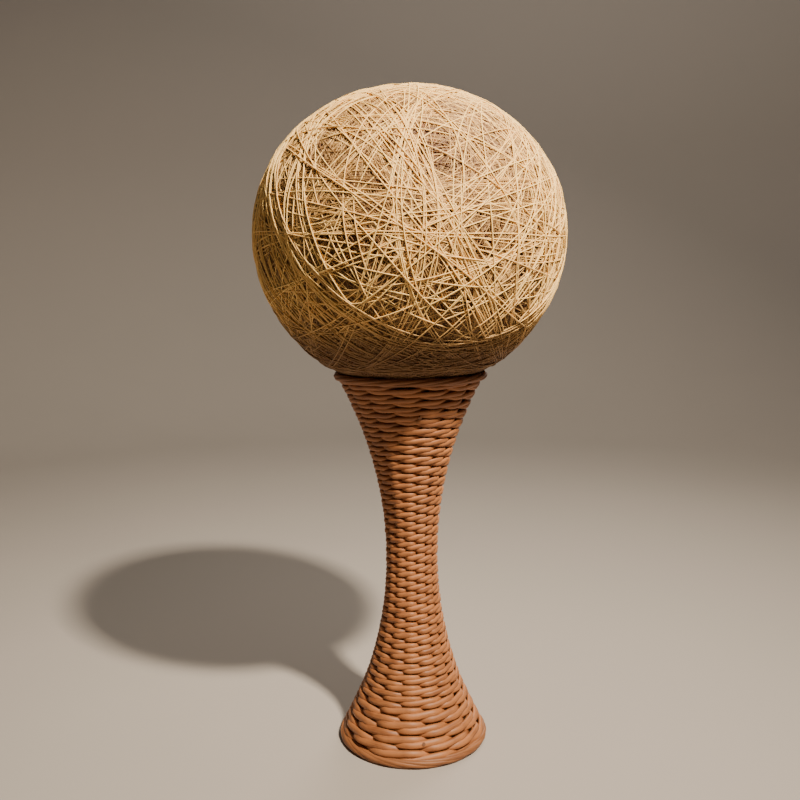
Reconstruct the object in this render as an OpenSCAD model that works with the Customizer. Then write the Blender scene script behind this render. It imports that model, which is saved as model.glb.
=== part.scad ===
// Table lamp: a waisted stand of woven cane, with a ball shade of wound twine that sits on its rim.
// Millimetres. The stand's axis is Z, and the lamp stands on Z = 0. Angles round the stand are
// counted from the front (-Y) towards +X.

/* [Stand] */
// Outer radius of the foot
foot_r = 81.3; // [66:0.1:100]
// Outer radius of the waist
waist_r = 28.3; // [26:0.1:36]
// Outer radius of the woven wall at the rim
mouth_r = 78.8; // [66:0.1:96]
// Height of the waist
waist_z = 205; // [165:1:250]
// Height of the rim border's middle
rim_z = 401.5; // [340:0.5:490]
// Thickness of the woven cane outside the stakes
weave_t = 3.6; // [3:0.1:5]
// Radius of the foot border's section
foot_border_r = 5.5; // [4.5:0.1:7]
// Height of the foot border's middle, less than its section's radius so that it has a flat to stand on
foot_border_z = 4.8; // [4:0.1:5.4]
// Radius of the rim border's section
rim_border_r = 4.2; // [3.4:0.1:5.2]
// How far the rim border's outside stands proud of the woven wall
rim_proud = 2.2; // [1.6:0.1:3]

/* [Stakes] */
// Number of stakes
stake_n = 15; // [12:1:16]
// Radius of a stake
stake_r = 2; // [1.6:0.05:2.4]
// Angle of the first stake
stake_phase = -4; // [-5:0.5:0]

/* [Boards] */
// Thickness of the base board and the holder board
board_t = 8; // [7.5:0.1:10]
// Height of the base board's underside
base_board_z = 13.5; // [13:0.5:18]
// Depth of the holder board's underside below the rim border's middle
holder_drop = 36; // [32:0.5:44]
// Radius of a nail's shank
nail_r = 0.8; // [0.6:0.05:1]
// Radius of a nail's head
nail_head_r = 1.8; // [1.4:0.1:2.2]
// Thickness of a nail's head
nail_head_t = 0.8; // [0.6:0.1:1]
// Depth of a nail in its board
nail_depth = 6; // [4:0.1:6.5]
// Number of nails in each board
nail_n = 3; // [3:1:5]

/* [Cord bush] */
// Radius of the cord bush's bore
bush_bore_r = 3.5; // [3:0.1:4]
// Wall of the cord bush
bush_wall = 1.8; // [1.4:0.1:2]
// Width of the cord bush's flange
bush_flange_w = 1.8; // [1.2:0.1:2.4]
// Thickness of the cord bush's flange
bush_flange_t = 2; // [1.5:0.1:3]

/* [Lampholder] */
// Outer radius of the threaded nipple
nipple_r = 5; // [4.5:0.1:6]
// Bore radius of the threaded nipple
nipple_bore_r = 3.7; // [3:0.1:4]
// Outer radius of the lampholder
holder_r = 19.5; // [18.5:0.1:22]
// Wall of the lampholder's casing
holder_wall = 2.2; // [1.8:0.1:2.4]
// Height of the holder cap
holder_cap_h = 20; // [19:0.5:26]
// Floor of the holder cap
holder_floor = 3.5; // [3:0.1:5]
// Height of the holder sleeve
holder_sleeve_h = 27; // [26:0.5:32]
// Thickness of the contact block
block_t = 9; // [8:0.5:10]
// Wall of the screw shell
shell_wall = 0.8; // [0.6:0.05:1]
// Height of the screw shell
shell_h = 23; // [20:0.5:25]

/* [Bulb] */
// Outer radius of the bulb's screw cap
bulb_cap_r = 13.1; // [12.9:0.05:13.2]
// Gap between the screw cap and the screw shell
screw_gap = 0.4; // [0.3:0.05:0.5]
// Length of the screw cap
bulb_cap_h = 22; // [20:0.5:24]
// Radius of the bulb's globe
globe_r = 30; // [27:0.5:34]
// Length of the bulb from its tip to its crown
bulb_len = 105; // [98:1:112]
// How much less the radius of the bulb's neck is than that of its screw cap
bulb_neck_in = 0.8; // [0.8:0.1:1.1]
// Thickness of the bulb's glass
glass_t = 0.8; // [0.6:0.05:1]

/* [Shade] */
// Radius of the ball
shade_r = 160; // [130:1:195]
// How much lower the ball's crown is than a full ball's
shade_flat = 13; // [6:0.5:16]
// Distance of the shoulder arcs' centres from the axis
shoulder_in = 20; // [18:0.5:30]
// Thickness of the outer winding
outer_winding_t = 2.6; // [2:0.1:3.2]
// Thickness of the inner winding
inner_winding_t = 1.2; // [1:0.1:2]
// Radius of the ball's opening
opening_r = 55; // [50:0.5:60]
// Radius of the opening hoop's section
hoop_r = 2.5; // [2:0.1:3]

/* [Clearances] */
// Gap between pieces of cane and board that lie against each other
slip = 0.1; // [0.05:0.01:0.2]
// Radial gap round a rod, nail, tube or bush in its hole
fit_gap = 0.05; // [0.02:0.01:0.1]
// Gap under what only rests on something
seat_gap = 0.3; // [0.3:0.05:0.5]

/* [Hidden] */
$fn = 120;

// The wall's section is one arc below the waist and one above it. Both centres lie outside the
// stand, level with the waist, and the arcs pass through the foot and through the rim. Their radii
// are whole tenths of a millimetre.
function arc_r(r, h) = round(5 * ((r - waist_r) * (r - waist_r) + h * h) / (r - waist_r)) / 10;
low_arc = arc_r(foot_r, waist_z - foot_border_z);
high_arc = arc_r(mouth_r, rim_z - waist_z);
function arc_at(z) = z < waist_z ? low_arc : high_arc;
// Radius at height z of the surface that lies a depth behind the wall's outside
function wall_r(z, depth = 0) = waist_r + arc_at(z)
    - sqrt(pow(arc_at(z) + depth, 2) - pow(z - waist_z, 2));
stake_depth = weave_t + slip + stake_r;
// The cane passes behind the stakes too, and the boards lie inside it.
board_depth = stake_depth + stake_r + slip + weave_t;
weave_z0 = foot_border_z + foot_border_r + slip;
weave_z1 = rim_z - rim_border_r - slip;
stake_step = 360 / stake_n;
arc_fn = 720;

base_board_r = wall_r(base_board_z + board_t, board_depth);
holder_board_z = rim_z - holder_drop;
holder_board_r = wall_r(holder_board_z, board_depth);
holder_z = holder_board_z + board_t;
bush_z = base_board_z + board_t + bush_bore_r + bush_wall + bush_flange_w + 2;
bush_r = bush_bore_r + bush_wall;
bush_flange_r = bush_r + bush_flange_w;
bush_face_y = wall_r(bush_z - bush_flange_r) + slip;
bush_inner_y = wall_r(bush_z + bush_r, weave_t) - 3;

washer_t = 1.2;
washer_r = nipple_r + 4;
nut_t = 4;
nut_flat_r = nipple_r + 2;
nipple_foot = washer_t + nut_t + 4;
nipple_head = holder_floor + 3;
ledge_w = 2.3;
block_r = holder_r - holder_wall - slip;
block_z = holder_z + holder_cap_h;
tongue_t = 0.6;
tongue_w = 5;
button_t = 1.2;
shell_r = bulb_cap_r + screw_gap;
shell_z = block_z + tongue_t;
terminal_x = 8;
terminal_r = 1.5;
terminal_head_r = 3;
terminal_head_t = 1.6;
terminal_len = 6;

tip_z = block_z + tongue_t + button_t + seat_gap;
tip_t = 1.2;
tip_r = 4.8;
insulator_h = 3.8;
collar_h = 2;
collar_r = bulb_cap_r - 3.2;
cap_wall = 0.5;
bulb_neck_r = bulb_cap_r - bulb_neck_in;
cap_z = tip_z + tip_t + insulator_h;
globe_z = tip_z + bulb_len - globe_r;
fillet_r = globe_r;
neck_z0 = tip_z + bulb_cap_h - 4;
stem_r = 2.6;
stem_flare_t = 1.2;
lead_r = 0.4;
filament_ring_r = 9;
filament_r = 0.35;
filament_arc = 300;

border_ring_r = mouth_r + rim_proud - rim_border_r;
shade_reach = shade_r + rim_border_r + seat_gap;
shade_z = rim_z + sqrt(shade_reach * shade_reach - border_ring_r * border_ring_r);
shoulder_r = shade_r - shoulder_in;
crown_h = shade_r - shade_flat;
// The crown arc meets the shoulder arc where both have the same tangent.
crown_r = (shoulder_in * shoulder_in + crown_h * crown_h - shoulder_r * shoulder_r)
    / (2 * (crown_h - shoulder_r));
crown_z = crown_h - crown_r;
hoop_reach = shade_r - outer_winding_t - inner_winding_t - 2 * slip - hoop_r;
hoop_ring_r = opening_r + hoop_r;

// Places its children at an angle counted from the front.
module at_angle(a) {
    rotate([0, 0, a - 90])
        children();
}

// Band of the wall between two depths and two heights, turned about the axis.
module wall_band(arc, depth_0, depth_1, z0, z1) {
    rotate_extrude($fn = 180)
        intersection() {
            translate([0, z0])
                square([waist_r + arc, z1 - z0]);
            translate([waist_r + arc, waist_z])
                difference() {
                    circle(arc + depth_1, $fn = arc_fn);
                    circle(arc + depth_0, $fn = arc_fn);
                }
        }
}

// Half of a stake, from the waist to an end below or above it.
module half_stake(arc, end_z) {
    reach = arc + stake_depth;
    sweep = asin(abs(end_z - waist_z) / reach);
    translate([waist_r + arc, 0, waist_z])
        rotate([end_z > waist_z ? -90 : 90, 0, 0])
            rotate([0, 0, 180])
                rotate_extrude(angle = sweep, $fn = arc_fn)
                    translate([reach, 0])
                        circle(stake_r, $fn = 24);
}

// Nails through the wall into a board of radius edge_r whose middle is at height z. They stand
// square to the wall, half way between two stakes. The extra radius and depth make their holes.
module nails(edge_r, z, extra = 0) {
    arc = arc_at(z);
    rise = atan2(waist_z - z, waist_r + arc - edge_r);
    reach = norm([waist_r + arc - edge_r, waist_z - z]) + nail_depth + extra;
    for (k = [0 : nail_n - 1])
        at_angle(stake_phase + (floor(k * stake_n / nail_n) + 0.5) * stake_step)
            translate([waist_r + arc, 0, waist_z])
                rotate([0, -90 - rise, 0]) {
                    translate([0, 0, arc - slip - nail_head_t])
                        cylinder(h = reach - arc + slip + nail_head_t, r = nail_r + extra, $fn = 24);
                    if (extra == 0)
                        translate([0, 0, arc - slip - nail_head_t])
                            cylinder(h = nail_head_t, r = nail_head_r, $fn = 32);
                }
}

module base_nails(extra = 0) {
    nails(base_board_r, base_board_z + board_t / 2, extra);
}

module holder_nails(extra = 0) {
    nails(holder_board_r, holder_board_z + board_t / 2, extra);
}

module ring(ring_r, z, r) {
    translate([0, 0, z])
        rotate_extrude($fn = 180)
            translate([ring_r, 0])
                circle(r, $fn = 48);
}

module tube(z, h, r, bore) {
    translate([0, 0, z])
        difference() {
            cylinder(h = h, r = r);
            translate([0, 0, -1])
                cylinder(h = h + 2, r = bore);
        }
}

// Half section of the ball, set in by a distance: a true circle below its middle, and a shoulder
// arc and a flatter crown arc above it.
module ball_section(inset) {
    far = 8;
    intersection() {
        circle(shade_r - inset, $fn = 360);
        translate([0, -shade_r])
            square([shade_r, shade_r]);
    }
    intersection() {
        translate([shoulder_in, 0])
            circle(shoulder_r - inset, $fn = 360);
        polygon([[shoulder_in, 0], [2 * shade_r, 0], [2 * shade_r, far * -crown_z],
            [shoulder_in * (1 + far), far * -crown_z]]);
    }
    intersection() {
        translate([0, crown_z])
            circle(crown_r - inset, $fn = 360);
        polygon([[0, 0], [shoulder_in, 0], [shoulder_in * (1 + far), far * -crown_z],
            [0, far * -crown_z]]);
    }
}

// Layer of the winding between two insets, open at the bottom.
module winding(inset_0, inset_1) {
    translate([0, 0, shade_z])
        rotate_extrude($fn = 180)
            difference() {
                ball_section(inset_0);
                ball_section(inset_1);
                translate([-1, -shade_r])
                    square([opening_r + 1, shade_r]);
            }
}

// Half section of the bulb's glass, set in by a distance: the globe, the neck, and between them a
// fillet that is tangent to both.
module glass_section(inset) {
    fillet_x = bulb_neck_r + fillet_r;
    drop = sqrt(pow(globe_r + fillet_r, 2) - fillet_x * fillet_x);
    share = (globe_r - inset) / (globe_r + fillet_r);
    intersection() {
        circle(globe_r - inset, $fn = 180);
        translate([0, -globe_r])
            square([globe_r, 2 * globe_r]);
    }
    difference() {
        translate([0, -drop])
            square([fillet_x * share, drop * (1 - share)]);
        translate([fillet_x, -drop])
            circle(fillet_r + inset, $fn = 180);
    }
    translate([0, neck_z0 - globe_z])
        square([bulb_neck_r - inset, globe_z - drop - neck_z0]);
}

module foot_border() {
    color("#a06c3c")
        rotate_extrude($fn = 180)
            intersection() {
                translate([foot_r - foot_border_r, foot_border_z])
                    circle(foot_border_r, $fn = 48);
                square([foot_r, 2 * foot_border_z]);
            }
}

module rim_border() {
    color("#8d5d34")
        ring(border_ring_r, rim_z, rim_border_r);
}

module stakes() {
    color("#b98250")
        for (k = [0 : stake_n - 1])
            at_angle(stake_phase + k * stake_step)
                union() {
                    half_stake(low_arc, weave_z0 + stake_r);
                    half_stake(high_arc, weave_z1 - stake_r);
                }
}

module lower_weave() {
    color("#c08a56")
        difference() {
            wall_band(low_arc, 0, weave_t, weave_z0, waist_z);
            base_nails(fit_gap);
            translate([0, bush_inner_y - 5, bush_z])
                rotate([-90, 0, 0])
                    cylinder(h = bush_face_y - bush_inner_y + 10, r = bush_r + fit_gap);
        }
}

module upper_weave() {
    color("#b57f4c")
        difference() {
            wall_band(high_arc, 0, weave_t, waist_z, weave_z1);
            holder_nails(fit_gap);
        }
}

module base_board() {
    color("#c9a878")
        difference() {
            translate([0, 0, base_board_z])
                cylinder(h = board_t, r = base_board_r);
            base_nails(fit_gap);
        }
}

module holder_board() {
    color("#c9a878")
        difference() {
            translate([0, 0, holder_board_z])
                cylinder(h = board_t, r = holder_board_r);
            holder_nails(fit_gap);
            translate([0, 0, holder_board_z - 1])
                cylinder(h = board_t + 2, r = nipple_r + fit_gap);
        }
}

module board_nails() {
    color("#8f8f8c") {
        base_nails();
        holder_nails();
    }
}

module cord_bush() {
    color("#3a2a1e")
        translate([0, bush_inner_y, bush_z])
            rotate([-90, 0, 0])
                difference() {
                    union() {
                        cylinder(h = bush_face_y - bush_inner_y + bush_flange_t, r = bush_r);
                        translate([0, 0, bush_face_y - bush_inner_y])
                            cylinder(h = bush_flange_t, r = bush_flange_r);
                    }
                    translate([0, 0, -1])
                        cylinder(h = bush_face_y - bush_inner_y + bush_flange_t + 2, r = bush_bore_r);
                }
}

module threaded_nipple() {
    color("#b9b9b4")
        tube(holder_board_z - nipple_foot, nipple_foot + board_t + nipple_head, nipple_r,
            nipple_bore_r);
}

module nipple_washer() {
    color("#a9a9a4")
        tube(holder_board_z - washer_t, washer_t, washer_r, nipple_r + fit_gap);
}

module nipple_nut() {
    color("#b0a070")
        translate([0, 0, holder_board_z - washer_t - nut_t])
            difference() {
                cylinder(h = nut_t, r = nut_flat_r / cos(30), $fn = 6);
                translate([0, 0, -1])
                    cylinder(h = nut_t + 2, r = nipple_r + fit_gap);
            }
}

module holder_cap() {
    color("#2a1d16")
        translate([0, 0, holder_z])
            difference() {
                cylinder(h = holder_cap_h, r = holder_r);
                translate([0, 0, -1])
                    cylinder(h = holder_cap_h, r = nipple_r + fit_gap);
                translate([0, 0, holder_floor])
                    cylinder(h = holder_cap_h, r = block_r - ledge_w);
                translate([0, 0, holder_cap_h - block_t])
                    cylinder(h = block_t + 1, r = block_r + slip);
            }
}

module terminal_shanks(extra = 0) {
    for (side = [-1, 1])
        translate([side * terminal_x, 0, block_z - block_t - 1])
            cylinder(h = terminal_len + 1 + extra, r = terminal_r + extra, $fn = 32);
}

module contact_block() {
    color("#ece6d8")
        difference() {
            translate([0, 0, block_z - block_t])
                cylinder(h = block_t, r = block_r);
            terminal_shanks(fit_gap);
        }
}

module terminal_screws() {
    color("#b8963e")
        for (side = [-1, 1])
            translate([side * terminal_x, 0, block_z - block_t - terminal_head_t])
                difference() {
                    union() {
                        cylinder(h = terminal_head_t, r = terminal_head_r);
                        cylinder(h = terminal_head_t + terminal_len, r = terminal_r, $fn = 32);
                    }
                    translate([-terminal_head_r, -0.3, -0.1])
                        cube([2 * terminal_head_r, 0.6, 0.8]);
                }
}

module side_contact() {
    end_x = sqrt(pow(shell_r + shell_wall, 2) - tongue_w * tongue_w / 4);
    color("#b8963e")
        translate([shell_r - 4, -tongue_w / 2, block_z])
            cube([end_x - shell_r + 4, tongue_w, tongue_t]);
}

module centre_contact() {
    color("#b8963e") {
        translate([-shell_r + 3, -tongue_w / 2, block_z])
            cube([shell_r - 3 + tongue_w / 2, tongue_w, tongue_t]);
        translate([0, 0, block_z])
            cylinder(h = tongue_t + button_t, r = tongue_w / 2, $fn = 32);
    }
}

module screw_shell() {
    color("#c2a552")
        tube(shell_z, shell_h, shell_r + shell_wall, shell_r);
}

module holder_sleeve() {
    color("#2a1d16")
        translate([0, 0, block_z])
            difference() {
                cylinder(h = holder_sleeve_h, r = holder_r);
                translate([0, 0, -1])
                    cylinder(h = shell_h + tongue_t + slip + 1, r = shell_r + shell_wall + slip);
                cylinder(h = holder_sleeve_h + 1, r = shell_r);
            }
}

module bulb_tip() {
    color("#b9b9b4")
        translate([0, 0, tip_z])
            cylinder(h = tip_t, r1 = tip_r - 1, r2 = tip_r);
}

module bulb_insulator() {
    color("#1c1c1c")
        translate([0, 0, tip_z + tip_t]) {
            cylinder(h = insulator_h, r1 = tip_r, r2 = collar_r);
            cylinder(h = insulator_h + collar_h, r = collar_r - 1);
        }
}

module bulb_cap() {
    taper_h = 2.5;
    floor_t = 1;
    color("#c9c9c4")
        translate([0, 0, cap_z + slip])
            difference() {
                union() {
                    cylinder(h = taper_h, r1 = collar_r, r2 = bulb_cap_r);
                    translate([0, 0, taper_h])
                        cylinder(h = bulb_cap_h - taper_h, r = bulb_cap_r);
                }
                translate([0, 0, -1])
                    cylinder(h = bulb_cap_h, r = collar_r - 1 + fit_gap);
                translate([0, 0, floor_t + taper_h])
                    cylinder(h = bulb_cap_h, r = bulb_cap_r - cap_wall);
            }
}

module bulb_glass() {
    color("#f4f1e6", 0.6)
        translate([0, 0, globe_z])
            rotate_extrude($fn = 120)
                difference() {
                    glass_section(0);
                    glass_section(glass_t);
                    translate([-1, neck_z0 - globe_z - 1])
                        square([bulb_neck_r - glass_t + 1, 1 + stem_flare_t]);
                }
}

module bulb_stem() {
    color("#dfe6e6", 0.6) {
        translate([0, 0, neck_z0])
            cylinder(h = stem_flare_t, r = bulb_neck_r - glass_t - slip);
        translate([0, 0, neck_z0])
            cylinder(h = globe_z - neck_z0 - filament_ring_r, r = stem_r);
    }
}

module filament() {
    foot_z = globe_z - filament_ring_r;
    half_gap = (360 - filament_arc) / 2;
    foot_x = stem_r / 2;
    end_x = filament_ring_r * cos(half_gap);
    end_y = filament_ring_r * sin(half_gap);
    tilt = atan2(norm([end_x - foot_x, end_y]), filament_ring_r);
    color("#9a9a96") {
        translate([0, 0, globe_z])
            rotate([0, 0, half_gap])
                rotate_extrude(angle = filament_arc, $fn = 96)
                    translate([filament_ring_r, 0])
                        circle(filament_r, $fn = 24);
        for (side = [-1, 1])
            translate([foot_x, 0, foot_z + slip])
                rotate([0, 0, side * atan2(end_y, end_x - foot_x)])
                    rotate([0, tilt, 0])
                        cylinder(h = (filament_ring_r - slip) / cos(tilt), r = lead_r, $fn = 24);
    }
}

module outer_winding() {
    color("#e6cd96")
        winding(0, outer_winding_t);
}

module inner_winding() {
    color("#b5875a")
        winding(outer_winding_t + slip, outer_winding_t + slip + inner_winding_t);
}

module opening_hoop() {
    color("#a87b4c")
        ring(hoop_ring_r, shade_z - sqrt(hoop_reach * hoop_reach - hoop_ring_r * hoop_ring_r), hoop_r);
}

foot_border();
rim_border();
stakes();
lower_weave();
upper_weave();
base_board();
holder_board();
board_nails();
cord_bush();
threaded_nipple();
nipple_washer();
nipple_nut();
holder_cap();
contact_block();
terminal_screws();
side_contact();
centre_contact();
screw_shell();
holder_sleeve();
bulb_tip();
bulb_insulator();
bulb_cap();
bulb_glass();
bulb_stem();
filament();
outer_winding();
inner_winding();
opening_hoop();
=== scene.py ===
"""Table lamp: a waisted stand of woven cane with a ball shade of wound twine that sits on its rim.

Lengths are in metres. Angles round the stand are counted from the front (-Y) towards +X.
"""

import math

import bpy
import numpy as np
from mathutils import Matrix, Vector


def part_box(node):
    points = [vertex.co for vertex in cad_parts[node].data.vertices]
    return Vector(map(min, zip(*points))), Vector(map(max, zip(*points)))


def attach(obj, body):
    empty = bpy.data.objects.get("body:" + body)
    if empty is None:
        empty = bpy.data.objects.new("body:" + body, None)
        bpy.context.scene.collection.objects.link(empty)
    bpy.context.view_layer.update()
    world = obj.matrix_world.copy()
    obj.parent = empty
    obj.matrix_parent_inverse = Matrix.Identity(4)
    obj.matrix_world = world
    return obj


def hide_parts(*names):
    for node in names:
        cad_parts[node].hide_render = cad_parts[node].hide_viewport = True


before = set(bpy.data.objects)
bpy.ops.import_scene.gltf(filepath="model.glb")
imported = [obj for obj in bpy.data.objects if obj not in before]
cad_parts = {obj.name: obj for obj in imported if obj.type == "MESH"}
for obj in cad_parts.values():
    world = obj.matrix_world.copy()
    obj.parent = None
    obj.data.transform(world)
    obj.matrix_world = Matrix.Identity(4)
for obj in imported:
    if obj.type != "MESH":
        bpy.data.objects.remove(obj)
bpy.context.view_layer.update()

bl_info = {
    "name": "Cane and twine table lamp",
    "version": (1, 0, 0),
    "blender": (4, 5, 0),
    "location": "View3D > Sidebar > Cane lamp",
    "description": "Builds a woven cane lamp stand, its ball shade of wound twine and its fittings",
    "category": "Object",
}

MM = 0.001
TURN = 2 * math.pi
THREAD_PITCH = 3.629 * MM


# ---------------------------------------------------------------- sizes read from the CAD frame


def node_points(name):
    """All vertices of a CAD node, as an array of points."""
    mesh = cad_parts[name].data
    flat = np.empty(3 * len(mesh.vertices), np.float32)
    mesh.vertices.foreach_get("co", flat)
    return flat.reshape(-1, 3).astype(float)


def widest(name, height=None):
    """Largest distance from the axis of a CAD node's vertices, of those at one height if it is given."""
    near = 0.01 * MM
    points = node_points(name)
    if height is not None:
        points = points[np.abs(points[:, 2] - height) < near]
    return float(np.hypot(points[:, 0], points[:, 1]).max())


def arc_through(waist_radius, end_radius, rise):
    """Radius of the arc that is upright at the waist and reaches end_radius a rise away from it."""
    spread = end_radius - waist_radius
    return (spread**2 + rise**2) / (2 * spread)


WEAVE_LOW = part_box("lower_weave")[0].z
WAIST_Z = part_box("lower_weave")[1].z
WEAVE_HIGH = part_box("upper_weave")[1].z
WAIST_R = widest("lower_weave", WAIST_Z)
LOW_ARC = arc_through(WAIST_R, widest("lower_weave"), WAIST_Z - WEAVE_LOW)
HIGH_ARC = arc_through(WAIST_R, widest("upper_weave"), WEAVE_HIGH - WAIST_Z)
FOOT_R = widest("foot_border")
FOOT_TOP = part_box("foot_border")[1].z
RIM_R = widest("rim_border")
RIM_LOW, RIM_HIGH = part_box("rim_border")[0].z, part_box("rim_border")[1].z
BALL_R = widest("outer_winding")
BALL_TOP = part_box("outer_winding")[1].z
LINING_R = widest("inner_winding")
OPENING_R = widest("outer_winding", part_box("outer_winding")[0].z)
BALL_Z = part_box("outer_winding")[0].z + math.sqrt(BALL_R**2 - OPENING_R**2)


# ---------------------------------------------------------------- settings


class StandSettings(bpy.types.PropertyGroup):
    stakes: bpy.props.IntProperty(name="Stakes", description="Number of upright rods", default=15, min=6)
    first_stake: bpy.props.FloatProperty(
        name="First stake", description="Angle of the first rod", default=math.radians(-4), subtype="ANGLE"
    )
    stake_r: bpy.props.FloatProperty(
        name="Rod radius", description="Radius of an upright rod", default=2 * MM, unit="LENGTH"
    )
    row: bpy.props.FloatProperty(
        name="Row height", description="Distance from one row to the next", default=3.63 * MM, unit="LENGTH"
    )
    foot_row: bpy.props.FloatProperty(
        name="Row height at the foot", description="The first rows are of thicker cane",
        default=4.7 * MM, unit="LENGTH",
    )
    foot_band: bpy.props.FloatProperty(
        name="Thick band", description="Height of the wall that is woven of thicker cane",
        default=50 * MM, unit="LENGTH",
    )
    fullness: bpy.props.FloatProperty(
        name="Fullness", description="Half the height of the woven cane, as a share of the row height",
        default=0.79,
    )
    flatness: bpy.props.FloatProperty(
        name="Flatness", description="Thickness of the woven cane, as a share of its height", default=0.6
    )
    weavers: bpy.props.IntProperty(
        name="Weavers", description="Canes that are worked together, each behind every third rod", default=3
    )
    border_share: bpy.props.FloatProperty(
        name="Border cane", description="Radius of a border cane, as a share of the border's", default=0.52
    )
    seed: bpy.props.IntProperty(name="Seed", description="Seed of the cane's unevenness", default=3)


class TwineSettings(bpy.types.PropertyGroup):
    layers: bpy.props.IntProperty(
        name="Layers", description="Layers of winding, each a piece of its own", default=4, min=2
    )
    turns: bpy.props.IntProperty(
        name="Turns", description="Turns of twine in the first layer", default=400, min=10
    )
    loose_turns: bpy.props.IntProperty(
        name="Loose turns", description="Last turns, which lie over the rest", default=170, min=10
    )
    collar_turns: bpy.props.IntProperty(
        name="Collar turns", description="Loose turns that run side by side across the front",
        default=13, min=1,
    )
    inside_turns: bpy.props.IntProperty(
        name="Inside turns", description="Brown turns that show on the inside of the ball",
        default=260, min=10,
    )
    family: bpy.props.IntProperty(
        name="Turns together", description="Neighbouring turns before the ball is turned afresh", default=4
    )
    radius: bpy.props.FloatProperty(
        name="Twine radius", description="Radius of the twine", default=0.62 * MM, unit="LENGTH"
    )
    seed: bpy.props.IntProperty(name="Seed", description="Seed of the winding", default=11)


class FinishSettings(bpy.types.PropertyGroup):
    cane_light: bpy.props.FloatVectorProperty(
        name="Light cane", description="Cane where it catches wear", size=3, subtype="COLOR",
        default=(0.345, 0.130, 0.041),
    )
    cane_dark: bpy.props.FloatVectorProperty(
        name="Dark cane", description="Cane where varnish has pooled", size=3, subtype="COLOR",
        default=(0.235, 0.080, 0.025),
    )
    twine_pale: bpy.props.FloatVectorProperty(
        name="Pale twine", description="Outer turns of the twine", size=3, subtype="COLOR",
        default=(0.97, 0.60, 0.20),
    )
    twine_dark: bpy.props.FloatVectorProperty(
        name="Brown twine", description="First turns of the twine", size=3, subtype="COLOR",
        default=(0.11, 0.036, 0.012),
    )


class StageSettings(bpy.types.PropertyGroup):
    floor_colour: bpy.props.FloatVectorProperty(
        name="Floor", description="Colour of the floor and backdrop", size=3, subtype="COLOR",
        default=(0.40, 0.36, 0.32),
    )
    distance: bpy.props.FloatProperty(
        name="Camera distance", description="Camera's distance in front", default=0.946, unit="LENGTH"
    )
    height: bpy.props.FloatProperty(
        name="Camera height", description="Camera's height above the table", default=0.507, unit="LENGTH"
    )
    aside: bpy.props.FloatProperty(
        name="Camera aside", description="Camera's place right of the axis, or left if negative",
        default=-0.0112, unit="LENGTH",
    )
    pitch: bpy.props.FloatProperty(
        name="Camera pitch", description="How far it looks down",
        default=math.radians(7.98), subtype="ANGLE",
    )
    roll: bpy.props.FloatProperty(
        name="Camera roll", description="Clockwise lean", default=math.radians(0.56), subtype="ANGLE"
    )
    lens: bpy.props.FloatProperty(name="Lens", description="Focal length in millimetres", default=40.5)


# ---------------------------------------------------------------- surfaces as arrays


def unit(vectors):
    """Vectors divided by their lengths."""
    return vectors / np.maximum(np.linalg.norm(vectors, axis=-1, keepdims=True), 1e-12)


def put_mesh(name, points, quads, ends=None, grain=None, tone=None):
    """Makes an object from points, four-sided faces and, if given, many-sided end faces."""
    mesh = bpy.data.meshes.new(name)
    corners = quads.ravel()
    counts = np.full(len(quads), 4)
    if ends is not None:
        corners = np.concatenate([corners, ends.ravel()])
        counts = np.concatenate([counts, np.full(len(ends), ends.shape[1])])
    mesh.vertices.add(len(points))
    mesh.vertices.foreach_set("co", points.astype(np.float32).ravel())
    mesh.loops.add(len(corners))
    mesh.loops.foreach_set("vertex_index", corners.astype(np.int32))
    mesh.polygons.add(len(counts))
    mesh.polygons.foreach_set("loop_start", (np.cumsum(counts) - counts).astype(np.int32))
    mesh.polygons.foreach_set("use_smooth", np.ones(len(counts), bool))
    mesh.update(calc_edges=True)
    if grain is not None:
        layer = mesh.attributes.new("grain", "FLOAT_VECTOR", "POINT")
        layer.data.foreach_set("vector", grain.astype(np.float32).ravel())
    if tone is not None:
        layer = mesh.attributes.new("tone", "FLOAT", "POINT")
        layer.data.foreach_set("value", tone.astype(np.float32).ravel())
    piece = bpy.data.objects.new(name, mesh)
    bpy.context.scene.collection.objects.link(piece)
    return piece


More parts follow.
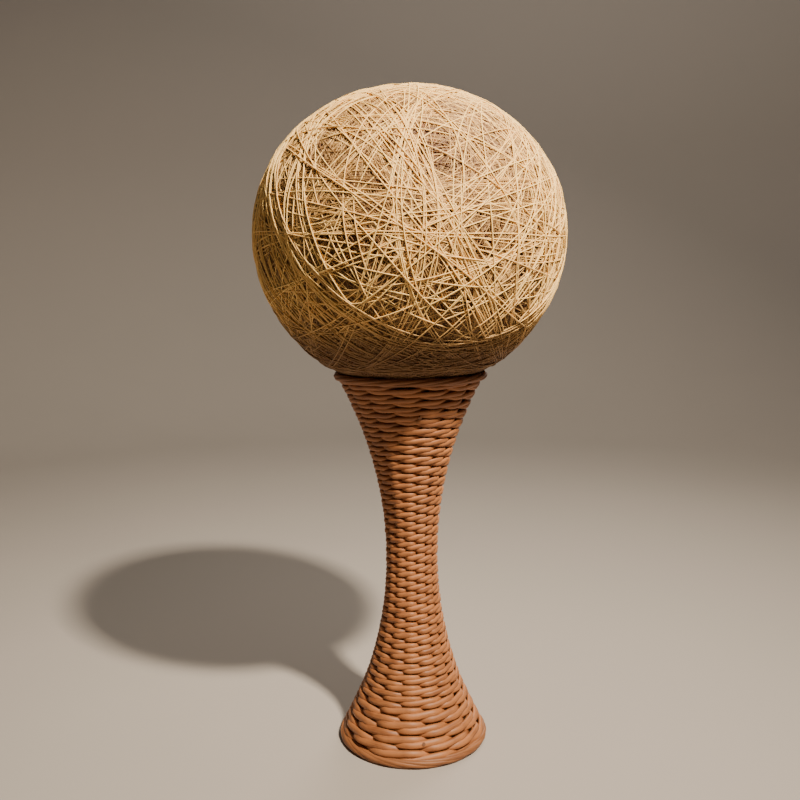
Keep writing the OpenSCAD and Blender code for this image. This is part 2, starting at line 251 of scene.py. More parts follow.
def sweep(name, paths, outward, radius, sides, closed, tone, flat=1.0):
    """Carries a round section along many paths at once.

    paths and outward are (path, point, 3). The section stands square to the path: its first axis is
    the outward direction made square to the path, shortened by flat, and its second is the cross
    product of path and outward direction. The grain attribute holds the length along the path and
    the place across the section. tone is (path,) or (path, point), and goes into the tone attribute.
    It also moves the grain along, so that no two paths show the same streaks.
    """
    grain_shift = 3
    ahead, behind = np.roll(paths, -1, axis=1), np.roll(paths, 1, axis=1)
    if not closed:
        ahead[:, -1], behind[:, 0] = paths[:, -1], paths[:, 0]
    along = unit(ahead - behind)
    side = unit(np.cross(along, outward))
    up = np.cross(side, along)
    count, steps = paths.shape[:2]
    turn = TURN * np.arange(sides) / sides
    radius = np.broadcast_to(radius, (count, steps))[:, :, None]
    across = radius * np.cos(turn) * flat
    beside = radius * np.sin(turn)
    points = paths[:, :, None] + across[..., None] * up[:, :, None] + beside[..., None] * side[:, :, None]
    hop = np.linalg.norm(np.diff(paths, axis=1, prepend=paths[:, :1]), axis=2)
    length = np.cumsum(hop, axis=1)[:, :, None] + 0 * across
    tone = tone.reshape(count, -1, 1) + 0 * across
    grain = np.stack([length + grain_shift * tone[:, :1], across, beside], axis=-1)
    index = np.arange(count * steps * sides).reshape(count, steps, sides)
    rows = index if closed else index[:, :-1]
    after = np.roll(index, -1, axis=1) if closed else index[:, 1:]
    quads = np.stack([rows, np.roll(rows, -1, axis=2), np.roll(after, -1, axis=2), after], axis=-1)
    ends = None if closed else np.concatenate([index[:, 0, ::-1], index[:, -1]])
    points, quads, grain = points.reshape(-1, 3), quads.reshape(-1, 4), grain.reshape(-1, 3)
    return put_mesh(name, points, quads, ends, grain, tone.ravel())


def turned(name, radii, heights, sides, ripple):
    """Turns a closed profile about the axis. ripple(angle, height) is added to the radius."""
    angle = TURN * np.arange(sides) / sides
    height = np.asarray(heights)[None, :] + np.zeros((sides, 1))
    radius = np.asarray(radii)[None, :] + ripple(angle[:, None], height)
    points = np.stack([radius * np.cos(angle)[:, None], radius * np.sin(angle)[:, None], height], axis=-1)
    index = np.arange(points.shape[0] * points.shape[1]).reshape(points.shape[:2])
    after = np.roll(index, -1, axis=0)
    quads = np.stack([index, after, np.roll(after, -1, axis=1), np.roll(index, -1, axis=1)], axis=-1)
    return put_mesh(name, points.reshape(-1, 3), quads.reshape(-1, 4))


def around(radius, angle, height):
    """Points at a radius and height, at an angle counted from the front."""
    radius, angle, height = np.broadcast_arrays(radius, angle, height)
    return np.stack([radius * np.sin(angle), -radius * np.cos(angle), height], axis=-1)


def wall_point(rise, depth, angle):
    """A point of the wall, rise along its arc above the waist and a depth behind its outside.

    The wall's section is an arc with its centre outside the stand, level with the waist, so depth
    adds to the arc's radius and rise turns about the centre. Also gives the outward direction.
    """
    arc = np.where(rise < 0, LOW_ARC, HIGH_ARC)
    lean = rise / arc
    reach = arc + depth
    point = around(WAIST_R + arc - reach * np.cos(lean), angle, WAIST_Z + reach * np.sin(lean))
    return point, around(np.cos(lean), angle, -np.sin(lean))


def waves(rng, where, count, size, shortest, longest):
    """A smooth uneven line: a sum of sine waves with random lengths and starts."""
    lengths = rng.uniform(shortest, longest, count)
    starts = rng.uniform(0, TURN, count)
    return size * np.sin(TURN * where[..., None] / lengths + starts).sum(axis=-1) / math.sqrt(count)


# ---------------------------------------------------------------- finishes


class Finish:
    """A material under construction: a Principled shader, and nodes that are wired to it."""

    def __init__(self, name, roughness, metallic=0.0, **sockets):
        self.material = bpy.data.materials.new(name)
        self.material.use_nodes = True
        self.tree = self.material.node_tree
        self.shader = self.tree.nodes["Principled BSDF"]
        self.shader.inputs["Roughness"].default_value = roughness
        self.shader.inputs["Metallic"].default_value = metallic
        for socket, value in sockets.items():
            self.shader.inputs[socket.replace("_", " ")].default_value = value

    def add(self, kind, inputs=None, **settings):
        """Adds a node. inputs maps its sockets to values or to other nodes' outputs."""
        node = self.tree.nodes.new(kind)
        for key, value in settings.items():
            setattr(node, key, value)
        for socket, value in (inputs or {}).items():
            if isinstance(value, bpy.types.NodeSocket):
                self.tree.links.new(value, node.inputs[socket])
            else:
                node.inputs[socket].default_value = value
        return node

    def place(self, source, scale):
        """Coordinates from an attribute, or from the object when source is None, stretched by scale."""
        if source is None:
            out = self.add("ShaderNodeTexCoord").outputs["Object"]
        else:
            out = self.add("ShaderNodeAttribute", attribute_name=source).outputs["Vector"]
        return self.add("ShaderNodeMapping", {"Vector": out, "Scale": scale}).outputs["Vector"]

    def noise(self, place, scale, detail=4.0, roughness=0.55):
        """Noise between 0 and 1 at a place."""
        inputs = {"Vector": place, "Scale": scale, "Detail": detail, "Roughness": roughness}
        return self.add("ShaderNodeTexNoise", inputs).outputs["Fac"]

    def sum(self, first, second, share):
        """First plus second times a share."""
        inputs = {0: second, 1: share, 2: first}
        return self.add("ShaderNodeMath", inputs, operation="MULTIPLY_ADD").outputs[0]

    def rescaled(self, value, low, high):
        """A value stretched so that low becomes 0 and high becomes 1."""
        inputs = {"Value": value, "From Min": low, "From Max": high}
        return self.add("ShaderNodeMapRange", inputs).outputs["Result"]

    def ramp(self, value, stops):
        """Colour along a ramp of (position, colour) stops."""
        node = self.add("ShaderNodeValToRGB", {"Fac": value})
        elements = node.color_ramp.elements
        while len(elements) < len(stops):
            elements.new(0.5)
        for element, (position, colour) in zip(elements, stops):
            element.position = position
            element.color = (*colour, 1.0)
        return node.outputs["Color"]

    def colour(self, output):
        """Wires a colour to the shader."""
        self.tree.links.new(output, self.shader.inputs["Base Color"])

    def rough(self, output, low, high):
        """Roughness from low to high as a value goes from 0 to 1."""
        inputs = {"Value": output, "To Min": low, "To Max": high}
        node = self.add("ShaderNodeMapRange", inputs)
        self.tree.links.new(node.outputs["Result"], self.shader.inputs["Roughness"])

    def bump(self, output, distance, strength=1.0):
        """Bump from a value, with a depth in metres."""
        node = self.add("ShaderNodeBump", {"Height": output, "Distance": distance, "Strength": strength})
        self.tree.links.new(node.outputs["Normal"], self.shader.inputs["Normal"])


def tint(colour, share):
    """A colour made darker or lighter by a share."""
    return tuple(min(1.0, c * share) for c in colour)


def cane_finish(name, dark, light, source="grain"):
    """Varnished cane: long streaks along it, pooled varnish in patches, fine pores in the bump."""
    finish = Finish(name, 0.5)
    stretch = (25.0, 700.0, 700.0) if source else (500.0, 500.0, 25.0)
    streaks = finish.noise(finish.place(source, stretch), 1.0, 5.0, 0.6)
    patches = finish.noise(finish.place(source, (45.0,) * 3), 1.0, 3.0)
    mixed = finish.sum(streaks, patches, 1.1)
    if source:
        tone = finish.add("ShaderNodeAttribute", attribute_name="tone").outputs["Fac"]
        mixed = finish.sum(mixed, tone, 0.35)
    stops = [(0.62, tint(dark, 0.75)), (0.86, dark), (1.12, light), (1.35, tint(light, 1.2))]
    low, high = stops[0][0], stops[-1][0]
    even = finish.rescaled(mixed, low, high)
    finish.colour(finish.ramp(even, [((at - low) / (high - low), colour) for at, colour in stops]))
    finish.rough(patches, 0.42, 0.65)
    finish.bump(streaks, 0.12 * MM)
    return finish.material


def twine_finish(name, dark, pale):
    """Glued twine: two plies twisted round each other, loose fibres, and a tone for each turn."""
    finish = Finish(name, 0.62)
    # The tone attribute darkens towards the ball's opening, partly browner twine and partly painted shade
    # of its underside.
    tone = finish.add("ShaderNodeAttribute", attribute_name="tone").outputs["Fac"]
    fibres = finish.noise(finish.place("grain", (900.0, 2600.0, 2600.0)), 1.0, 3.0)
    patches = finish.noise(finish.place("grain", (26.0, 26.0, 26.0)), 1.0, 2.0)
    twist = finish.add(
        "ShaderNodeTexWave",
        {"Vector": finish.place("grain", (1.0, 0.9, 0.9)), "Scale": 130.0, "Distortion": 0.6},
        bands_direction="DIAGONAL",
    ).outputs["Fac"]
    mixed = finish.sum(finish.sum(tone, patches, 0.45), fibres, 0.25)
    even = finish.rescaled(mixed, 0.3, 1.3)
    middle = tuple((a + b) / 2 for a, b in zip(dark, pale))
    finish.colour(finish.ramp(even, [(0.0, dark), (0.45, middle), (0.8, pale), (1.0, tint(pale, 1.12))]))
    finish.bump(twist, 0.15 * MM, 0.6)
    return finish.material


def lining_finish(name, dark, pale):
    """The glued first turns under the rest: lines of twine in every direction, dark between them."""
    finish = Finish(name, 0.8)
    place = finish.place(None, (1.0, 1.0, 1.0))
    crossed = None
    for lean, scale in (((1.0, 0.35, 0.2), 260.0), ((0.2, 1.0, 0.4), 290.0), ((0.5, 0.2, 1.0), 275.0)):
        axis = finish.add("ShaderNodeMapping", {"Vector": place, "Rotation": lean}).outputs["Vector"]
        lines = finish.add(
            "ShaderNodeTexWave", {"Vector": axis, "Scale": scale / 6, "Distortion": 2.0, "Detail": 1.0}
        ).outputs["Fac"]
        if crossed is None:
            crossed = lines
        else:
            crossed = finish.add("ShaderNodeMath", {0: crossed, 1: lines}, operation="MAXIMUM").outputs[0]
    finish.colour(finish.ramp(crossed, [(0.3, tint(dark, 0.55)), (0.75, dark), (1.0, pale)]))
    finish.bump(crossed, 0.5 * MM)
    return finish.material


def plain_finish(name, colour, roughness, metallic=0.0, spread=0.12, scale=90.0, bump=0.03 * MM, **sockets):
    """An even material whose colour, roughness and surface vary a little over it."""
    finish = Finish(name, roughness, metallic, **sockets)
    clouds = finish.noise(finish.place(None, (scale,) * 3), 1.0)
    finish.colour(finish.ramp(clouds, [(0.3, tint(colour, 1 - spread)), (0.7, tint(colour, 1 + spread))]))
    finish.rough(clouds, max(0.05, roughness * 0.8), min(1.0, roughness * 1.25))
    finish.bump(clouds, bump)
    return finish.material


def board_finish(name, colour):
    """Birch plywood: long grain on the faces and thin plies at the edge."""
    finish = Finish(name, 0.6)
    grain = finish.noise(finish.place(None, (14.0, 240.0, 240.0)), 1.0, 5.0)
    plies = finish.add(
        "ShaderNodeTexWave",
        {"Vector": finish.place(None, (0.0, 0.0, 1.0)), "Scale": 105.0, "Distortion": 0.4},
        bands_direction="Z",
    ).outputs["Fac"]
    mixed = finish.sum(grain, plies, 0.25)
    finish.colour(finish.ramp(mixed, [(0.35, tint(colour, 0.6)), (0.6, colour), (0.9, tint(colour, 1.15))]))
    finish.bump(grain, 0.08 * MM)
    return finish.material


def pearl_finish(name):
    """Pearl bulb glass: lets part of the light through, and is etched a little unevenly."""
    finish = Finish(name, 0.35, 0.0, Transmission_Weight=0.6, IOR=1.45)
    clouds = finish.noise(finish.place(None, (60.0,) * 3), 1.0)
    finish.colour(finish.ramp(clouds, [(0.3, (0.93, 0.92, 0.89)), (0.7, (0.98, 0.98, 0.96))]))
    finish.rough(clouds, 0.30, 0.40)
    return finish.material


def dress(node, material):
    """Gives a CAD node's object one material."""
    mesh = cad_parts[node].data
    mesh.materials.clear()
    mesh.materials.append(material)


def settle(piece, body, slot, material, *nodes):
    """Finishes a piece: its material, the body it rides on and the CAD nodes it stands for; the slot
    argument is not used.
    """
    piece.data.materials.append(material)
    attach(piece, body)
    if nodes:
        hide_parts(*nodes)
    return piece


# ---------------------------------------------------------------- the stand


def rows_up_the_wall(stand):
    """Rises above the waist, the row height at each, and the rows between it and the foot border.

    The row height goes from that of the foot to the wall's along a smooth step, and the rows are the
    sum of small rises divided by it. The first and last row lie inside the borders.
    """
    samples = 2000
    low = LOW_ARC * math.asin((WEAVE_LOW - WAIST_Z) / LOW_ARC)
    high = HIGH_ARC * math.asin((WEAVE_HIGH - WAIST_Z) / HIGH_ARC)
    rise = np.linspace(low - stand.foot_row, high + stand.row, samples)
    share = np.clip((low + stand.foot_band - rise) / (0.5 * stand.foot_band) + 0.5, 0, 1)
    row = stand.row + (stand.foot_row - stand.row) * share**2 * (3 - 2 * share)
    count = np.concatenate([[0], np.cumsum(np.diff(rise) * 2 / (row[1:] + row[:-1]))])
    return rise, row, count - np.interp(low, rise, count)


def weaver_path(stand, number, rng):
    """The line of one weaver, as points, outward directions and radii.

    It climbs three rows a turn. Its place is counted in stakes: at every third stake it lies behind,
    at the other two in front, and it crosses from one side to the other along half a cosine. Where
    the row above is behind the stake it is pressed up, and where the row below is, down. Between two
    stakes in front it bows out, and at both ends of the wall it tucks in behind the border.
    """
    steps_per_stake = 8
    pressed, bowed = 0.12, 0.3
    tuck_low, tuck_high = 0.35, 0.6
    rises, row_heights, counts = rows_up_the_wall(stand)
    stakes_per_row = stand.stakes / stand.weavers
    first = number * stakes_per_row
    length = (counts[-1] - counts[0]) * stakes_per_row
    place = first + np.linspace(0, length, int(length * steps_per_stake) + 1)
    cycle = np.mod(place - number, stand.weavers)
    front = np.where(cycle < 1, -np.cos(math.pi * cycle), np.where(cycle < 2, 1.0, np.cos(math.pi * cycle)))
    rows = counts[0] + (place - first) / stakes_per_row
    row = np.interp(rows, counts, row_heights)
    press = 0.75 * np.sin(2 * TURN * cycle / 3) - 0.4 * np.sin(TURN * cycle / 3)
    rise = np.interp(rows, counts, rises) + pressed * row * press
    uneven = waves(rng, place, count=4, size=0.035, shortest=8.0, longest=50.0)
    radius = stand.fullness * row * (1 + uneven)
    tuck = np.clip(np.minimum(rows + tuck_low, counts[-1] - tuck_high - rows), 0, 1)
    centre = stand.stake_r + 2 * stand.flatness * stand.fullness * stand.row
    depth = centre - front * (stand.stake_r + stand.flatness * radius) * tuck
    bow = np.where((cycle > 1) & (cycle < 2), np.sin(math.pi * (cycle - 1)), 0.0)
    step = TURN / stand.stakes
    depth = depth + bowed * bow * (WAIST_R + rise**2 / (2 * LOW_ARC)) * (1 - math.cos(step / 2))
    depth = depth + waves(rng, place, count=5, size=0.12 * MM, shortest=2.0, longest=9.0)
    rise = rise + waves(rng, place, count=5, size=0.16 * MM, shortest=4.0, longest=21.0)
    path, outward = wall_point(rise, depth, stand.first_stake + place * step)
    return path, outward, radius


class LAMP_OT_weave(bpy.types.Operator):
    """Weaves the wall: three canes wound upwards together, each behind every third stake"""

    bl_idname = "cane_lamp.weave"
    bl_label = "Woven wall"

    def execute(self, context):
        stand = context.scene.lamp_stand
        colours = context.scene.lamp_finish
        finish = cane_finish("woven_cane", colours.cane_dark, colours.cane_light)
        rng = np.random.default_rng(stand.seed)
        tone_step = 0.3
        for number in range(stand.weavers):
            path, outward, radius = weaver_path(stand, number, rng)
            piece = sweep(
                f"cane_weaver_{number + 1}", path[None], outward[None], radius[None],
                sides=8, closed=False, tone=np.array([tone_step * number]), flat=stand.flatness,
            )
            settle(piece, "stand", "cane_weave", finish, "lower_weave", "upper_weave")
        dress("stakes", cane_finish("stake_cane", tint(colours.cane_dark, 0.8), colours.cane_light, None))
        return {"FINISHED"}


def border_strokes(name, stand, ring_r, ring_z, section_r, turned_from, turned_to):
    """A plaited border: every stake's end runs on round the ring and turns about the ring's middle.

    A stroke starts at its stake and covers a few stakes, while its place round the ring's section
    turns from one angle to another, so that it comes out above its neighbour and tucks in below. Its
    ends are thinner, and its tone differs from its neighbours'.
    """
    span, end_share, tone_step = 3.2, 0.6, 0.37
    along = np.linspace(0, 1, 32)[None, :]
    start = stand.first_stake + TURN * np.arange(stand.stakes)[:, None] / stand.stakes
    angle = start + span * TURN / stand.stakes * along
    section = turned_from + (turned_to - turned_from) * along + 0 * angle
    stroke_r = stand.border_share * section_r
    reach = section_r - stroke_r
    path = around(ring_r + reach * np.cos(section), angle, ring_z + reach * np.sin(section))
    outward = around(np.cos(section), angle, np.sin(section))
    swell = np.minimum(1, 4 * np.sin(math.pi * along))
    radius = stroke_r * (end_share + (1 - end_share) * swell) + 0 * angle
    tone = np.mod(np.arange(stand.stakes) * tone_step, 1.0)
    return sweep(name, path, outward, radius, sides=12, closed=False, tone=tone)


class LAMP_OT_borders(bpy.types.Operator):
    """Plaits the foot border and the rim border from the ends of the stakes"""

    bl_idname = "cane_lamp.borders"
    bl_label = "Plaited borders"

    def execute(self, context):
        stand = context.scene.lamp_stand
        colours = context.scene.lamp_finish
        finish = cane_finish("border_cane", tint(colours.cane_dark, 0.85), tint(colours.cane_light, 0.72))
        foot_r = FOOT_TOP / 2
        foot = border_strokes(
            "foot_plait", stand, FOOT_R - foot_r, foot_r, foot_r, math.radians(125), math.radians(-80)
        )
        settle(foot, "stand", "cane_border", finish, "foot_border")
        rim_r = (RIM_HIGH - RIM_LOW) / 2
        rim = border_strokes(
            "rim_plait", stand, RIM_R - rim_r, RIM_LOW + rim_r, rim_r, math.radians(-110), math.radians(110)
        )
        settle(rim, "stand", "cane_border", finish, "rim_border")
        return {"FINISHED"}


# ---------------------------------------------------------------- the ball


def wound_turns(rng, turns, family, clear):
    """Planes of the turns of twine: unit normals, and how far each plane is shifted from the centre.

    Turns come in families: each normal is the last one turned a little about an axis square to it.
    A plane that would cut into the opening, a cap of half angle clear at the bottom, is shifted
    up until its circle passes just clear of the cap.
    """
    least_step, most_step, jitter = 0.012, 0.055, 0.35
    off_centre, off_cap = 0.05, 0.035
    groups = math.ceil(turns / family)
    centre = unit(rng.normal(size=(groups, 1, 3)))
    drift = unit(np.cross(centre, rng.normal(size=(groups, 1, 3))))
    step = rng.uniform(least_step, most_step, (groups, 1, 1)) * rng.choice([-1, 1], (groups, 1, 1))
    swing = step * (np.arange(family)[None, :, None] + rng.normal(0, jitter, (groups, family, 1)))
    normal = centre * np.cos(swing) + np.cross(drift, centre) * np.sin(swing)
    normal = normal.reshape(-1, 3)[:turns]
    normal = normal * np.where(normal[:, 2:] < 0, -1, 1)
    lean = np.arccos(np.clip(normal[:, 2], -1, 1))
    needed = lean + clear - math.pi / 2
    shift = np.maximum(rng.normal(0, off_centre, turns), needed + np.abs(rng.normal(0, off_cap, turns)))
    return normal, shift


def collar_turns(rng, turns):
    """Planes of loose turns that lie side by side, as a collar.

    They run over the crown, down the left and low across the front.
    """
    middle, spread = np.array([[0.31, -0.80, 0.51]]), 0.045
    least_shift, most_shift = 0.20, 0.38
    normal = unit(middle + rng.normal(0, spread, (turns, 3)))
    return normal, rng.uniform(least_shift, most_shift, turns)


def turn_points(rng, normal, shift, radius, steps, most):
    """Points of closed turns of twine round the ball, and their outward directions.

    A turn is the circle where its plane meets the sphere. It is bent sideways by a few sine waves and
    rides in and out over the turns below it, up to the radius most. Heights above the centre are
    scaled down to the ball's flatter crown.
    """
    bend, least_bend, ride = 0.008, -0.02, 0.3 * MM
    turns = len(normal)
    helper = np.where(np.abs(normal[:, 2:]) < 0.7, np.array([[0.0, 0.0, 1.0]]), np.array([[1.0, 0.0, 0.0]]))
    first = unit(np.cross(normal, helper))
    second = np.cross(normal, first)
    angle = TURN * np.arange(steps)[None, :] / steps + rng.uniform(0, TURN, (turns, 1))
    side = np.zeros((turns, steps))
    lift = np.zeros((turns, steps))
    for wave in (2, 3, 5, 8):
        start = rng.uniform(0, TURN, (2, turns, 1))
        side += rng.normal(0, bend / wave**0.5, (turns, 1)) * np.sin(wave * angle + start[0])
        lift += rng.normal(0, ride, (turns, 1)) * np.sin((2 * wave + 1) * angle + start[1])
    tilt = (shift[:, None] + np.maximum(side, least_bend))[..., None]
    circle = np.cos(angle)[..., None] * first[:, None] + np.sin(angle)[..., None] * second[:, None]
    outward = np.sin(tilt) * normal[:, None] + np.cos(tilt) * circle
    points = outward * np.minimum(radius[:, None] + lift, most)[..., None]
    crown = (BALL_TOP - BALL_Z) / BALL_R
    points[..., 2] *= np.where(points[..., 2] > 0, crown, 1.0)
    points[..., 2] += BALL_Z
    return points, outward


def browned_and_shaded(tone, points):
    """A tone for every point: the turn's own, which falls to a tenth towards the opening.

    This darkening is partly browner twine near the opening and partly painted shade of the ball's
    underside. Heights are shares of the ball's radius above its centre. Between the two, the tone follows a
    smooth step.
    """
    # Painted shade: besides browner twine, the tone falls towards the opening, where the ball's underside
    # lies in shade.
    darkest_at, full_at, least = -0.78, -0.36, 0.1
    height = (points[..., 2] - BALL_Z) / BALL_R
    share = np.clip((height - darkest_at) / (full_at - darkest_at), 0, 1)
    return tone[:, None] * (least + (1 - least) * share**2 * (3 - 2 * share))


class LAMP_OT_winding(bpy.types.Operator):
    """Winds the ball: layer on layer of glued twine, brown inside and pale outside"""

    bl_idname = "cane_lamp.winding"
    bl_label = "Wound twine ball"

    def execute(self, context):
        twine = context.scene.lamp_twine
        colours = context.scene.lamp_finish
        finish = twine_finish("ball_twine", colours.twine_dark, colours.twine_pale)
        rng = np.random.default_rng(twine.seed)
        steps, inside_steps = 80, 48
        clear = math.asin((OPENING_R + twine.radius) / BALL_R)
        inside, outside = LINING_R + 0.5 * twine.radius, BALL_R - 1.1 * twine.radius
        thinning = 0.55
        for layer in range(twine.layers):
            turns = round(twine.turns * (1 - thinning * layer / (twine.layers - 1)))
            normal, shift = wound_turns(rng, turns, twine.family, clear)
            share = (layer + np.arange(turns) / turns) / twine.layers
            radius = inside + (outside - inside) * share
            points, outward = turn_points(rng, normal, shift, radius, steps, BALL_R - 0.4 * MM)
            paling = 0.02 + 0.62 * share**2.2
            # The turns' tone darkens towards the opening, partly browner twine and partly painted shade of
            # the underside.
            tone = browned_and_shaded(np.clip(paling + rng.normal(0, 0.18, turns), 0, 1), points)
            name = f"twine_layer_{layer + 1}"
            piece = sweep(name, points, outward, twine.radius, sides=3, closed=True, tone=tone)
            settle(piece, "shade", "pale_twine", finish, "outer_winding")
        loose_family, loose_clear = 2, clear + math.radians(12)
        normal, shift = wound_turns(rng, twine.loose_turns, loose_family, loose_clear)
        collar, collar_shift = collar_turns(rng, twine.collar_turns)
        normal, shift = np.concatenate([normal, collar]), np.concatenate([shift, collar_shift])
        radius = rng.uniform(BALL_R - 1.4 * MM, BALL_R + 0.6 * MM, len(normal))
        radius[-len(collar):] = rng.uniform(BALL_R + 0.3 * MM, BALL_R + 0.9 * MM, len(collar))
        points, outward = turn_points(rng, normal, shift, radius, steps, BALL_R + 1.2 * MM)
        # The loose turns' tone darkens towards the opening, partly browner twine and partly painted shade
        # of the underside.
        tone = browned_and_shaded(np.clip(rng.normal(0.88, 0.12, len(normal)), 0, 1), points)
        piece = sweep("twine_loose_turns", points, outward, twine.radius, sides=5, closed=True, tone=tone)
        settle(piece, "shade", "pale_twine", finish, "outer_winding")
        normal, shift = wound_turns(rng, twine.inside_turns, twine.family, clear)
        radius = np.full(twine.inside_turns, LINING_R - 2.4 * MM)
        points, outward = turn_points(rng, normal, shift, radius, inside_steps, LINING_R - 2.0 * MM)
        tone = np.clip(rng.normal(0.15, 0.12, twine.inside_turns), 0, 1)
        piece = sweep("twine_inside", points, outward, twine.radius, sides=3, closed=True, tone=tone)
        settle(piece, "shade", "brown_twine", finish)
        lining = lining_finish("glued_lining", colours.twine_dark, tint(colours.twine_dark, 1.8))
        dress("inner_winding", lining)
        dress("opening_hoop", cane_finish("hoop_cane", colours.cane_dark, colours.cane_light, None))
        return {"FINISHED"}


# ---------------------------------------------------------------- the fittings


def thread_ripple(depth, low, high):
    """A screw thread: the radius swings by a depth along a helix, and fades out at its two ends."""

    def ripple(angle, height):
        wave = np.cos(TURN * (height / THREAD_PITCH) - angle)
        fade = np.clip(np.minimum(height - low, high - height) / (0.5 * THREAD_PITCH), 0, 1)
        return depth * fade * (wave - 1) / 2

    return ripple


def threaded_tube(name, outer, wall, low, high, depth, foot=()):
    """A thin threaded tube.

    Its profile goes up the outside, down the inside and on through the foot's points, if it has any.
    """
    steps, sides = 72, 96
    up = np.linspace(low, high, steps)
    foot = np.reshape(foot, (-1, 2))
    radii = np.concatenate([np.full(steps, outer), np.full(steps, outer - wall), foot[:, 0]])
    heights = np.concatenate([up, up[::-1], foot[:, 1]])
    return turned(name, radii, heights, sides, thread_ripple(depth, low, high))


class LAMP_OT_fittings(bpy.types.Operator):
    """Finishes the boards, the lampholder, the bulb and the cord bush"""

    bl_idname = "cane_lamp.fittings"
    bl_label = "Boards, lampholder and bulb"

    def execute(self, context):
        alu = plain_finish("bulb_aluminium", (0.76, 0.76, 0.75), 0.32, 1.0)
        brass = plain_finish("lamp_brass", (0.70, 0.50, 0.22), 0.34, 1.0)
        steel = plain_finish("zinc_steel", (0.60, 0.60, 0.58), 0.38, 1.0)
        phenolic = plain_finish("brown_phenolic", (0.060, 0.030, 0.018), 0.22, 0.0, 0.35)
        board = board_finish("birch_board", (0.62, 0.43, 0.25))
        cap_low, cap_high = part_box("bulb_cap")
        collar_r, taper_top = widest("bulb_cap", cap_low.z), cap_low.z + 2.5 * MM
        bore_r = collar_r - MM
        foot = [(bore_r, taper_top), (bore_r, cap_low.z), (collar_r, cap_low.z)]
        cap = threaded_tube(
            "bulb_screw_cap", widest("bulb_cap"), low=taper_top, high=cap_high.z,
            wall=0.5 * MM, depth=0.8 * MM, foot=foot,
        )
        settle(cap, "bulb", "bulb_aluminium", alu, "bulb_cap")
        shell_low, shell_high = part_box("screw_shell")
        shell = threaded_tube(
            "holder_screw_shell", widest("screw_shell"), low=shell_low.z, high=shell_high.z,
            wall=0.6 * MM, depth=0.5 * MM,
        )
        settle(shell, "stand", "brass", brass, "screw_shell")
        clear = plain_finish("stem_glass", (0.92, 0.95, 0.95), 0.08, 0.0, 0.02, Transmission_Weight=0.95)
        for nodes, material in (
            (("base_board", "holder_board"), board),
            (("threaded_nipple", "nipple_washer"), steel),
            (("board_nails",), plain_finish("browned_nail", (0.17, 0.065, 0.022), 0.6)),
            (("nipple_nut", "terminal_screws", "side_contact", "centre_contact"), brass),
            (("holder_cap", "holder_sleeve"), phenolic),
            (("cord_bush",), plain_finish("bush_rubber", (0.045, 0.030, 0.024), 0.62)),
            (("contact_block",), plain_finish("porcelain", (0.86, 0.84, 0.78), 0.15, 0.0, 0.03)),
            (("bulb_tip",), plain_finish("solder", (0.60, 0.60, 0.60), 0.4, 1.0)),
            (("bulb_insulator",), plain_finish("black_glass", (0.015, 0.015, 0.018), 0.12)),
            (("bulb_glass",), pearl_finish("pearl_glass")),
            (("bulb_stem",), clear),
            (("filament",), plain_finish("tungsten", (0.30, 0.30, 0.30), 0.45, 1.0)),
        ):
            for node in nodes:
                dress(node, material)
        return {"FINISHED"}


# ---------------------------------------------------------------- the stage


# Name, place, target, size, spread in degrees, energy in watts and colour of each light
LIGHTS = (
    ("key", (0.80, -1.16, 2.05), (0, 0, 0.45), 0.14, 85, 27, (1.0, 0.87, 0.71)),
    ("back", (0.8, 1.8, 1.6), (0, 0, 0.5), 1.2, 60, 5, (1.0, 0.90, 0.78)),
    ("wall", (0.2, 0.9, 2.3), (0.4, 2.8, 0.8), 1.0, 150, 12, (1.0, 0.92, 0.82)),
    ("top", (0, 0, 3.4), (0, 0, 0), 3.0, 175, 14, (1.0, 0.92, 0.82)),
)


def area_light(name, place, target, size, spread, energy, colour):
    """A square area light at a place, turned towards a target and held in a cone by its grid."""
    light = bpy.data.lights.new(name, "AREA")
    light.size = size
    light.spread = math.radians(spread)
    light.energy = energy
    light.color = colour
    lamp = bpy.data.objects.new(name, light)
    lamp.location = place
    lamp.rotation_euler = (Vector(target) - Vector(place)).to_track_quat("-Z", "Y").to_euler()
    bpy.context.scene.collection.objects.link(lamp)
    return lamp


def studio_floor(radius, bend_radius, wall_height):
    """A round floor that turns up into a wall along a quarter circle."""
    sides, bend_steps = 96, 17
    bend = np.linspace(0, math.pi / 2, bend_steps)
    flat = radius - bend_radius
    reach = np.concatenate([[0.0, flat / 2], flat + bend_radius * np.sin(bend), [radius]])
    height = np.concatenate([[0.0, 0.0], bend_radius * (1 - np.cos(bend)), [wall_height]])
    points = around(reach[None, :], TURN * np.arange(sides)[:, None] / sides, height[None, :])
    index = np.arange(points.shape[0] * points.shape[1]).reshape(points.shape[:2])
    after = np.roll(index, -1, axis=0)
    quads = np.stack([index[:, :-1], index[:, 1:], after[:, 1:], after[:, :-1]], axis=-1)
    return put_mesh("studio_floor", points.reshape(-1, 3), quads.reshape(-1, 4))


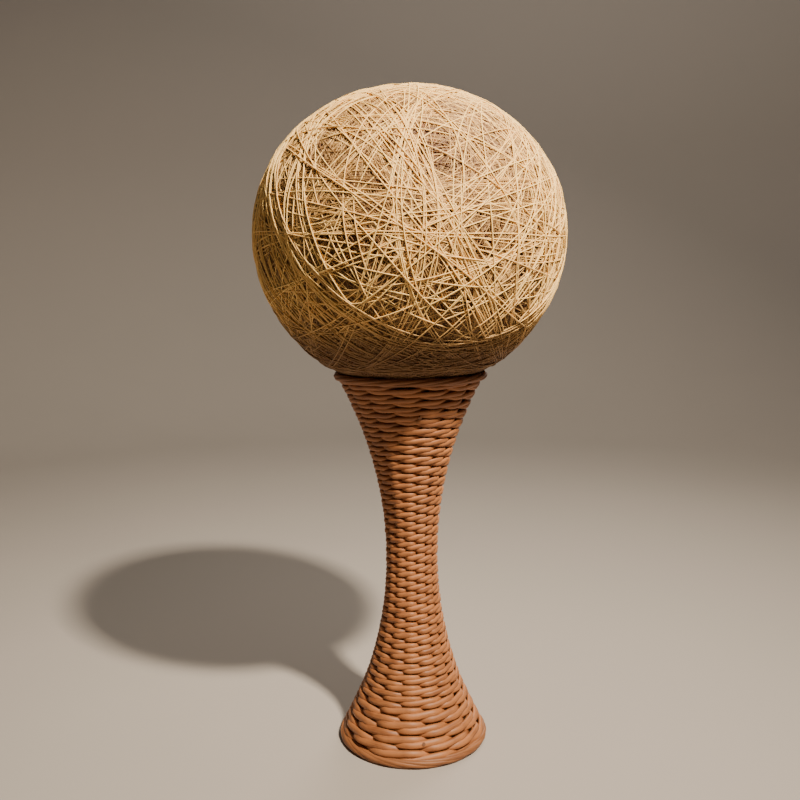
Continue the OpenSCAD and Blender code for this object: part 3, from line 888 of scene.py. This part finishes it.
class LAMP_OT_stage(bpy.types.Operator):
    """Sets up the pale floor and backdrop, the studio lights and the camera"""

    bl_idname = "cane_lamp.stage"
    bl_label = "Floor, lights and camera"

    def execute(self, context):
        stage = context.scene.lamp_stage
        floor = studio_floor(radius=2.8, bend_radius=1.0, wall_height=2.8)
        paper = plain_finish("pale_paper", stage.floor_colour, 0.85, spread=0.015, scale=3.0, bump=0.0)
        floor.data.materials.append(paper)
        for light in LIGHTS:
            area_light(*light)
        world = bpy.data.worlds.new("studio")
        world.use_nodes = True
        background = world.node_tree.nodes["Background"]
        background.inputs["Color"].default_value = (0.82, 0.90, 1.0, 1.0)
        background.inputs["Strength"].default_value = 0.02
        context.scene.world = world
        camera = bpy.data.objects.new("camera", bpy.data.cameras.new("camera"))
        camera.data.lens = stage.lens
        camera.data.sensor_width = 36.0
        place = Matrix.Translation((stage.aside, -stage.distance, stage.height))
        turn = Matrix.Rotation(math.pi / 2 - stage.pitch, 4, "X") @ Matrix.Rotation(-stage.roll, 4, "Z")
        camera.matrix_world = place @ turn
        context.scene.collection.objects.link(camera)
        context.scene.camera = camera
        return {"FINISHED"}


# ---------------------------------------------------------------- the add-on


class LAMP_PT_panel(bpy.types.Panel):
    """Lists the lamp's pieces and their settings"""

    bl_idname = "LAMP_PT_panel"
    bl_label = "Cane lamp"
    bl_space_type = "VIEW_3D"
    bl_region_type = "UI"
    bl_category = "Cane lamp"

    def draw(self, context):
        scene = context.scene
        for title, settings, operators in (
            ("Stand", scene.lamp_stand, (LAMP_OT_weave, LAMP_OT_borders)),
            ("Ball", scene.lamp_twine, (LAMP_OT_winding,)),
            ("Finishes", scene.lamp_finish, (LAMP_OT_fittings,)),
            ("Stage", scene.lamp_stage, (LAMP_OT_stage,)),
        ):
            box = self.layout.box()
            box.label(text=title)
            for name in settings.__annotations__:
                box.prop(settings, name)
            for operator in operators:
                box.operator(operator.bl_idname)


SETTINGS = {
    "lamp_stand": StandSettings,
    "lamp_twine": TwineSettings,
    "lamp_finish": FinishSettings,
    "lamp_stage": StageSettings,
}
OPERATORS = (LAMP_OT_weave, LAMP_OT_borders, LAMP_OT_winding, LAMP_OT_fittings, LAMP_OT_stage)


def register():
    """Registers the settings, the operators and the panel."""
    for name, group in SETTINGS.items():
        bpy.utils.register_class(group)
        setattr(bpy.types.Scene, name, bpy.props.PointerProperty(type=group))
    for operator in OPERATORS:
        bpy.utils.register_class(operator)
    bpy.utils.register_class(LAMP_PT_panel)


def unregister():
    """Takes everything back out."""
    bpy.utils.unregister_class(LAMP_PT_panel)
    for operator in reversed(OPERATORS):
        bpy.utils.unregister_class(operator)
    for name, group in SETTINGS.items():
        delattr(bpy.types.Scene, name)
        bpy.utils.unregister_class(group)


def main():
    """Builds the lamp and its stage."""
    register()
    bpy.ops.cane_lamp.stage()
    bpy.ops.cane_lamp.weave()
    bpy.ops.cane_lamp.borders()
    bpy.ops.cane_lamp.winding()
    bpy.ops.cane_lamp.fittings()


if __name__ == "__main__":
    main()
